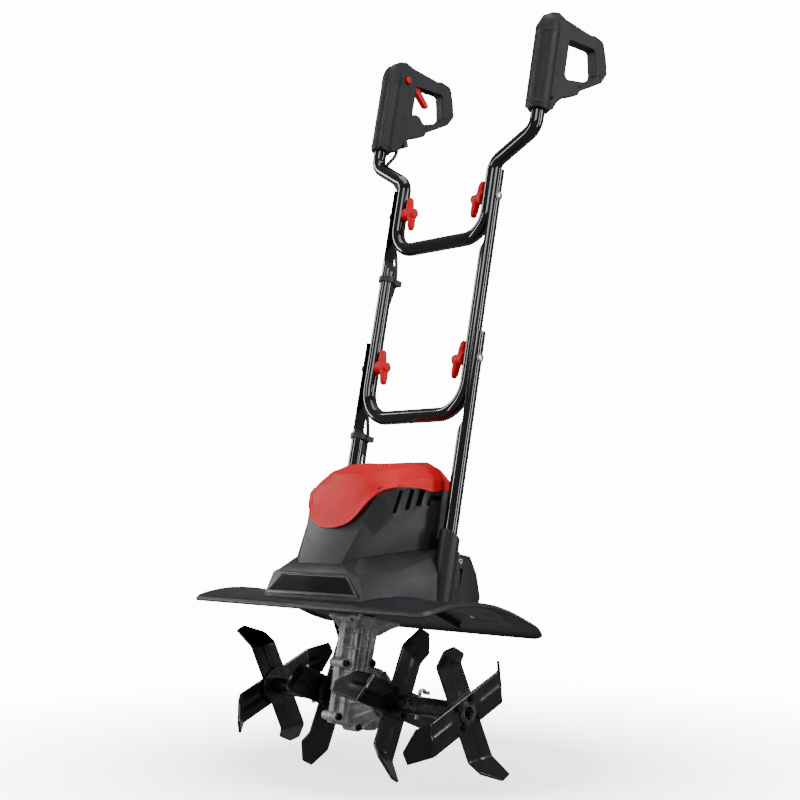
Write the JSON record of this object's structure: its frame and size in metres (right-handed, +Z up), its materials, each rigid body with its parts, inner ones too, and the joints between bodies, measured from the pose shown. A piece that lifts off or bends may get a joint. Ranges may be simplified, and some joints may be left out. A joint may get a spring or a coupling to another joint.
{
  "type": "electric garden tiller",
  "caption": "Electric garden tiller with a folding handle of nested tube bars, loop grips, a geared motor housing over an arched guard, and bent tine stars on an axle.",
  "frame": {"origin": "centre of the bounding box, on the floor under the tines", "axes": "+X to the machine's left as its user stands behind it, along the tine axle; -Y forwards, the way it works; +Z up. The handle leans back 11.55 degrees."},
  "size_m": [0.5244, 0.482, 1.1532],
  "materials": {
    "dark_plastic": "fine grained",
    "gloss_panel": "glossy",
    "red_plastic": "semi gloss",
    "guard_plastic": "satin",
    "grip_plastic": "fine grained",
    "tube_paint": "gloss paint",
    "cast_aluminium": "as cast",
    "tine_paint": "satin paint",
    "bright_steel": "plated",
    "copper_bronze": "bronze and copper",
    "black_rubber": "matte"
  },
  "bodies": {
    "frame": {"guard": "guard_plastic", "base_housing": "dark_plastic", "motor_hood": "dark_plastic", "top_cover": "red_plastic", "rear_box": "dark_plastic", "front_panel": "gloss_panel", "gearbox_left_half": "cast_aluminium", "gearbox_right_half": "cast_aluminium", "motor_stator": "bright_steel", "brush_plate": "dark_plastic", "worm_upper_bearing": "bright_steel", "worm_lower_bearing": "bright_steel", "axle_bearing_left": "bright_steel", "axle_bearing_right": "bright_steel", "axle_seal_left": "black_rubber", "axle_seal_right": "black_rubber", "lower_tube_left": "tube_paint", "lower_tube_right": "tube_paint", "lower_bolt_left": "bright_steel", "lower_bolt_right": "bright_steel", "lower_cable_clip": "dark_plastic", "lead_lower": "black_rubber"},
    "motor_rotor": {"motor_shaft": "bright_steel", "armature": "copper_bronze", "cooling_fan": "dark_plastic"},
    "tine_shaft": {"axle": "bright_steel", "worm_wheel": "copper_bronze", "inner_hub_left": "tine_paint", "inner_hub_right": "tine_paint", "outer_hub_left": "tine_paint", "outer_hub_right": "tine_paint", "hitch_pin_left": "bright_steel", "hitch_pin_right": "bright_steel", "inner_tine_left_front": "tine_paint", "inner_tine_left_back": "tine_paint", "inner_tine_right_front": "tine_paint", "inner_tine_right_back": "tine_paint", "outer_tine_left_front": "tine_paint", "outer_tine_left_back": "tine_paint", "outer_tine_right_front": "tine_paint", "outer_tine_right_back": "tine_paint"},
    "middle_handle": {"middle_bar": "tube_paint", "upper_bolt_left": "bright_steel", "upper_bolt_right": "bright_steel", "upper_cable_clip": "dark_plastic", "lead_middle": "black_rubber"},
    "upper_handle": {"upper_bar": "tube_paint", "left_grip_inner_half": "grip_plastic", "left_grip_outer_half": "grip_plastic", "right_grip_inner_half": "grip_plastic", "right_grip_outer_half": "grip_plastic", "switch_unit": "dark_plastic", "power_inlet": "dark_plastic", "lead_upper": "black_rubber"},
    "trigger_lever": {"trigger": "red_plastic"},
    "lock_button_slider": {"lock_button": "red_plastic"},
    "lower_nut_left": {"lower_wing_nut_left": "red_plastic"},
    "lower_nut_right": {"lower_wing_nut_right": "red_plastic"},
    "upper_nut_left": {"upper_wing_nut_left": "red_plastic"},
    "upper_nut_right": {"upper_wing_nut_right": "red_plastic"}
  },
  "joints": [
    {"name": "tine_spin", "type": "hinge", "parent": "frame", "child": "tine_shaft", "pos_m": [0, -0.11228, 0.1074], "axis": [1, 0, 0], "continuous": true},
    {"name": "motor_spin", "type": "hinge", "parent": "frame", "child": "motor_rotor", "pos_m": [0, -0.14755, 0.11461], "axis": [0, 0.2002, 0.9798], "continuous": true},
    {"name": "lower_fold", "type": "hinge", "parent": "frame", "child": "middle_handle", "pos_m": [0, 0.00191, 0.61124], "axis": [1, 0, 0], "range_deg": [0, 120]},
    {"name": "upper_fold", "type": "hinge", "parent": "middle_handle", "child": "upper_handle", "pos_m": [0, 0.05387, 0.86548], "axis": [1, 0, 0], "range_deg": [0, 150]},
    {"name": "trigger_pull", "type": "hinge", "parent": "upper_handle", "child": "trigger_lever", "pos_m": [-0.1735, 0.15378, 1.11963], "axis": [1, 0, 0], "range_deg": [0, 12], "stiffness_Nm_per_rad": 0.4, "springref_deg": -11.46},
    {"name": "lock_button_press", "type": "slide", "parent": "upper_handle", "child": "lock_button_slider", "axis": [-1, 0, 0], "range_m": [0, 0.004], "stiffness_N_per_m": 300, "springref_m": -0.002},
    {"name": "lower_nut_left_turn", "type": "hinge", "parent": "frame", "child": "lower_nut_left", "pos_m": [0.11, 0.00191, 0.61124], "axis": [1, 0, 0], "continuous": true},
    {"name": "lower_nut_right_turn", "type": "hinge", "parent": "frame", "child": "lower_nut_right", "pos_m": [-0.11, 0.00191, 0.61124], "axis": [1, 0, 0], "continuous": true},
    {"name": "upper_nut_left_turn", "type": "hinge", "parent": "middle_handle", "child": "upper_nut_left", "pos_m": [0.101, 0.05387, 0.86548], "axis": [1, 0, 0], "continuous": true},
    {"name": "upper_nut_right_turn", "type": "hinge", "parent": "middle_handle", "child": "upper_nut_right", "pos_m": [-0.101, 0.05387, 0.86548], "axis": [1, 0, 0], "continuous": true}
  ],
  "couplings": [
    {"joint": "motor_spin", "follows": "tine_spin", "ratio": 26}
  ]
}
